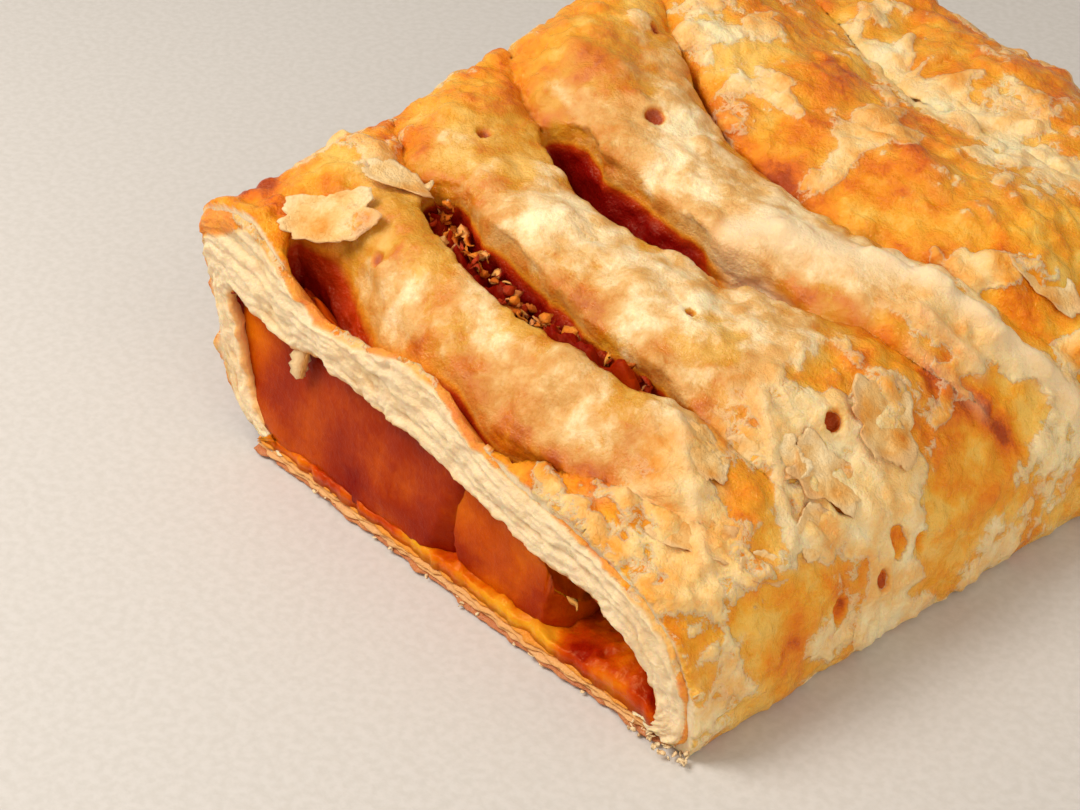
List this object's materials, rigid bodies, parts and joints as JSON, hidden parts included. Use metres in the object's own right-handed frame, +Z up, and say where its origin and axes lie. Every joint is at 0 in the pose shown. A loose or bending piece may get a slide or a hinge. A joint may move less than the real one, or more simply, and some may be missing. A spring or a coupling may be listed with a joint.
{
  "type": "apple pie",
  "caption": "Puff-pastry slab apple pie cut across at one end, with a slashed golden top crust and stewed apple slices in set juice showing in the cut and the slits.",
  "frame": {"origin": "centre of the footprint's bounding box, on the base face that the pie rests on", "axes": "+Z up, +Y along the length from the cut end to the closed far end, X along the cut face, with the rounded lower side of the pie on +X"},
  "size_m": [0.094, 0.126, 0.0471],
  "materials": {
    "baked_pastry": "baked puff pastry, golden brown on top with pale flaky cut edges, soft sheen",
    "set_juice": "set apple juice, amber, clear and wet",
    "stewed_apple": "stewed apple flesh, orange to dark red-brown, translucent and wet"
  },
  "bodies": {
    "root": {"crust": "baked_pastry", "apple_jelly": "set_juice", "apple_slice_1": "stewed_apple", "apple_slice_2": "stewed_apple", "apple_slice_3": "stewed_apple", "apple_slice_4": "stewed_apple", "apple_slice_5": "stewed_apple", "apple_slice_6": "stewed_apple", "apple_slice_7": "stewed_apple", "apple_slice_8": "stewed_apple", "apple_slice_9": "stewed_apple", "apple_slice_10": "stewed_apple"}
  },
  "joints": []
}
